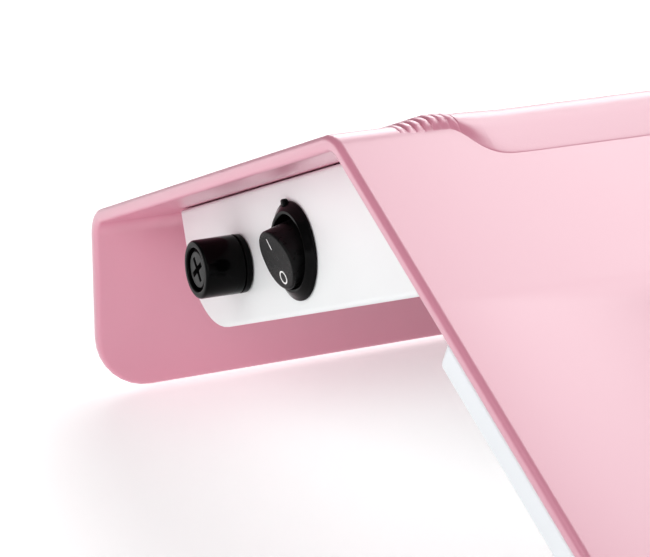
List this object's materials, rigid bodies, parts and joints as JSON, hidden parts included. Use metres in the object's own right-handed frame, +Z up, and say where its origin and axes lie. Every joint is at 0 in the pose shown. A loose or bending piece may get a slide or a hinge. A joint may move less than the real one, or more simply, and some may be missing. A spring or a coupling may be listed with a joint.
{
  "type": "nail dust collector",
  "caption": "Tabletop nail dust collector: bent pink cover with palm pad, hinged grille and filter over a white fan housing, rocker switch and fuse in a rear casing.",
  "frame": {"origin": "on the table under the middle of the body, feet at z = 0", "axes": "+Z up, -Y towards the user (front slope), +Y towards the rear wall, -X the side with the switch and the fuse"},
  "size_m": [0.29, 0.3106, 0.1072],
  "materials": {
    "pink_plastic": "satin moulded ABS, light pink",
    "pad_pink": "soft satin pink, ribbed ends",
    "white_plastic": "satin moulded ABS, cool white",
    "black_plastic": "smooth moulded, slight gloss",
    "dark_plastic": "fine matte",
    "black_rubber": "matte",
    "steel": "zinc plated",
    "nickel": "nickel plated",
    "brass": "turned",
    "board_green": "solder mask",
    "fuse_glass": "clear",
    "filter_grey": "fine matte",
    "filter_paper": "pleated paper"
  },
  "bodies": {
    "main_body": {"base_screw_1": "steel", "base_screw_2": "steel", "base_screw_3": "steel", "base_screw_4": "steel", "board_capacitor": "nickel", "board_screw_1": "steel", "board_screw_2": "steel", "board_screw_3": "steel", "board_screw_4": "steel", "board_transformer": "dark_plastic", "casing_screw_1": "steel", "casing_screw_2": "steel", "casing_screw_3": "steel", "casing_screw_4": "steel", "circuit_board": "board_green", "fan_baffle": "dark_plastic", "fan_housing": "white_plastic", "foot_front_left": "black_rubber", "foot_front_right": "black_rubber", "foot_rear_left": "black_rubber", "foot_rear_right": "black_rubber", "fuse_end_inner": "nickel", "fuse_end_outer": "nickel", "fuse_holder": "black_plastic", "fuse_tube": "fuse_glass", "hinge_pin_left": "steel", "hinge_pin_right": "steel", "housing_base": "white_plastic", "inlet_pin_left": "nickel", "inlet_pin_right": "nickel", "lower_tray": "white_plastic", "mains_inlet": "black_plastic", "motor_bearing": "steel", "motor_body": "steel", "motor_screw_1": "steel", "motor_screw_2": "steel", "motor_screw_3": "steel", "palm_pad": "pad_pink", "power_casing": "white_plastic", "rocker_pin": "steel", "switch_body": "black_plastic", "switch_terminal_1": "steel", "switch_terminal_2": "steel", "top_shell": "pink_plastic", "tray_screw_1": "steel", "tray_screw_2": "steel", "tray_screw_3": "steel", "tray_screw_4": "steel"},
    "rocker_button": {"rocker": "black_plastic"},
    "fuse_cap_body": {"fuse_cap": "black_plastic"},
    "fan_rotor": {"impeller": "dark_plastic", "motor_shaft": "steel", "impeller_nut": "brass"},
    "grille_door": {"grille_lid": "white_plastic", "filter_frame": "filter_grey", "filter_pleats": "filter_paper"}
  },
  "joints": [
    {"name": "rocker_tilt", "type": "hinge", "parent": "main_body", "child": "rocker_button", "pos_m": [-0.1268, 0.06731, 0.06293], "axis": [0, 0.9323, -0.3616], "range_deg": [0, 32]},
    {"name": "fuse_cap_turn", "type": "hinge", "parent": "main_body", "child": "fuse_cap_body", "pos_m": [-0.1272, 0.09779, 0.0511], "axis": [-1, 0, 0], "range_deg": [0, 45]},
    {"name": "fan_spin", "type": "hinge", "parent": "main_body", "child": "fan_rotor", "pos_m": [0, -0.01278, 0.02], "axis": [0, 0, 1], "continuous": true},
    {"name": "lid_hinge", "type": "hinge", "parent": "main_body", "child": "grille_door", "pos_m": [0, -0.03903, 0.07643], "axis": [-1, 0, 0], "range_deg": [0, 85]}
  ]
}
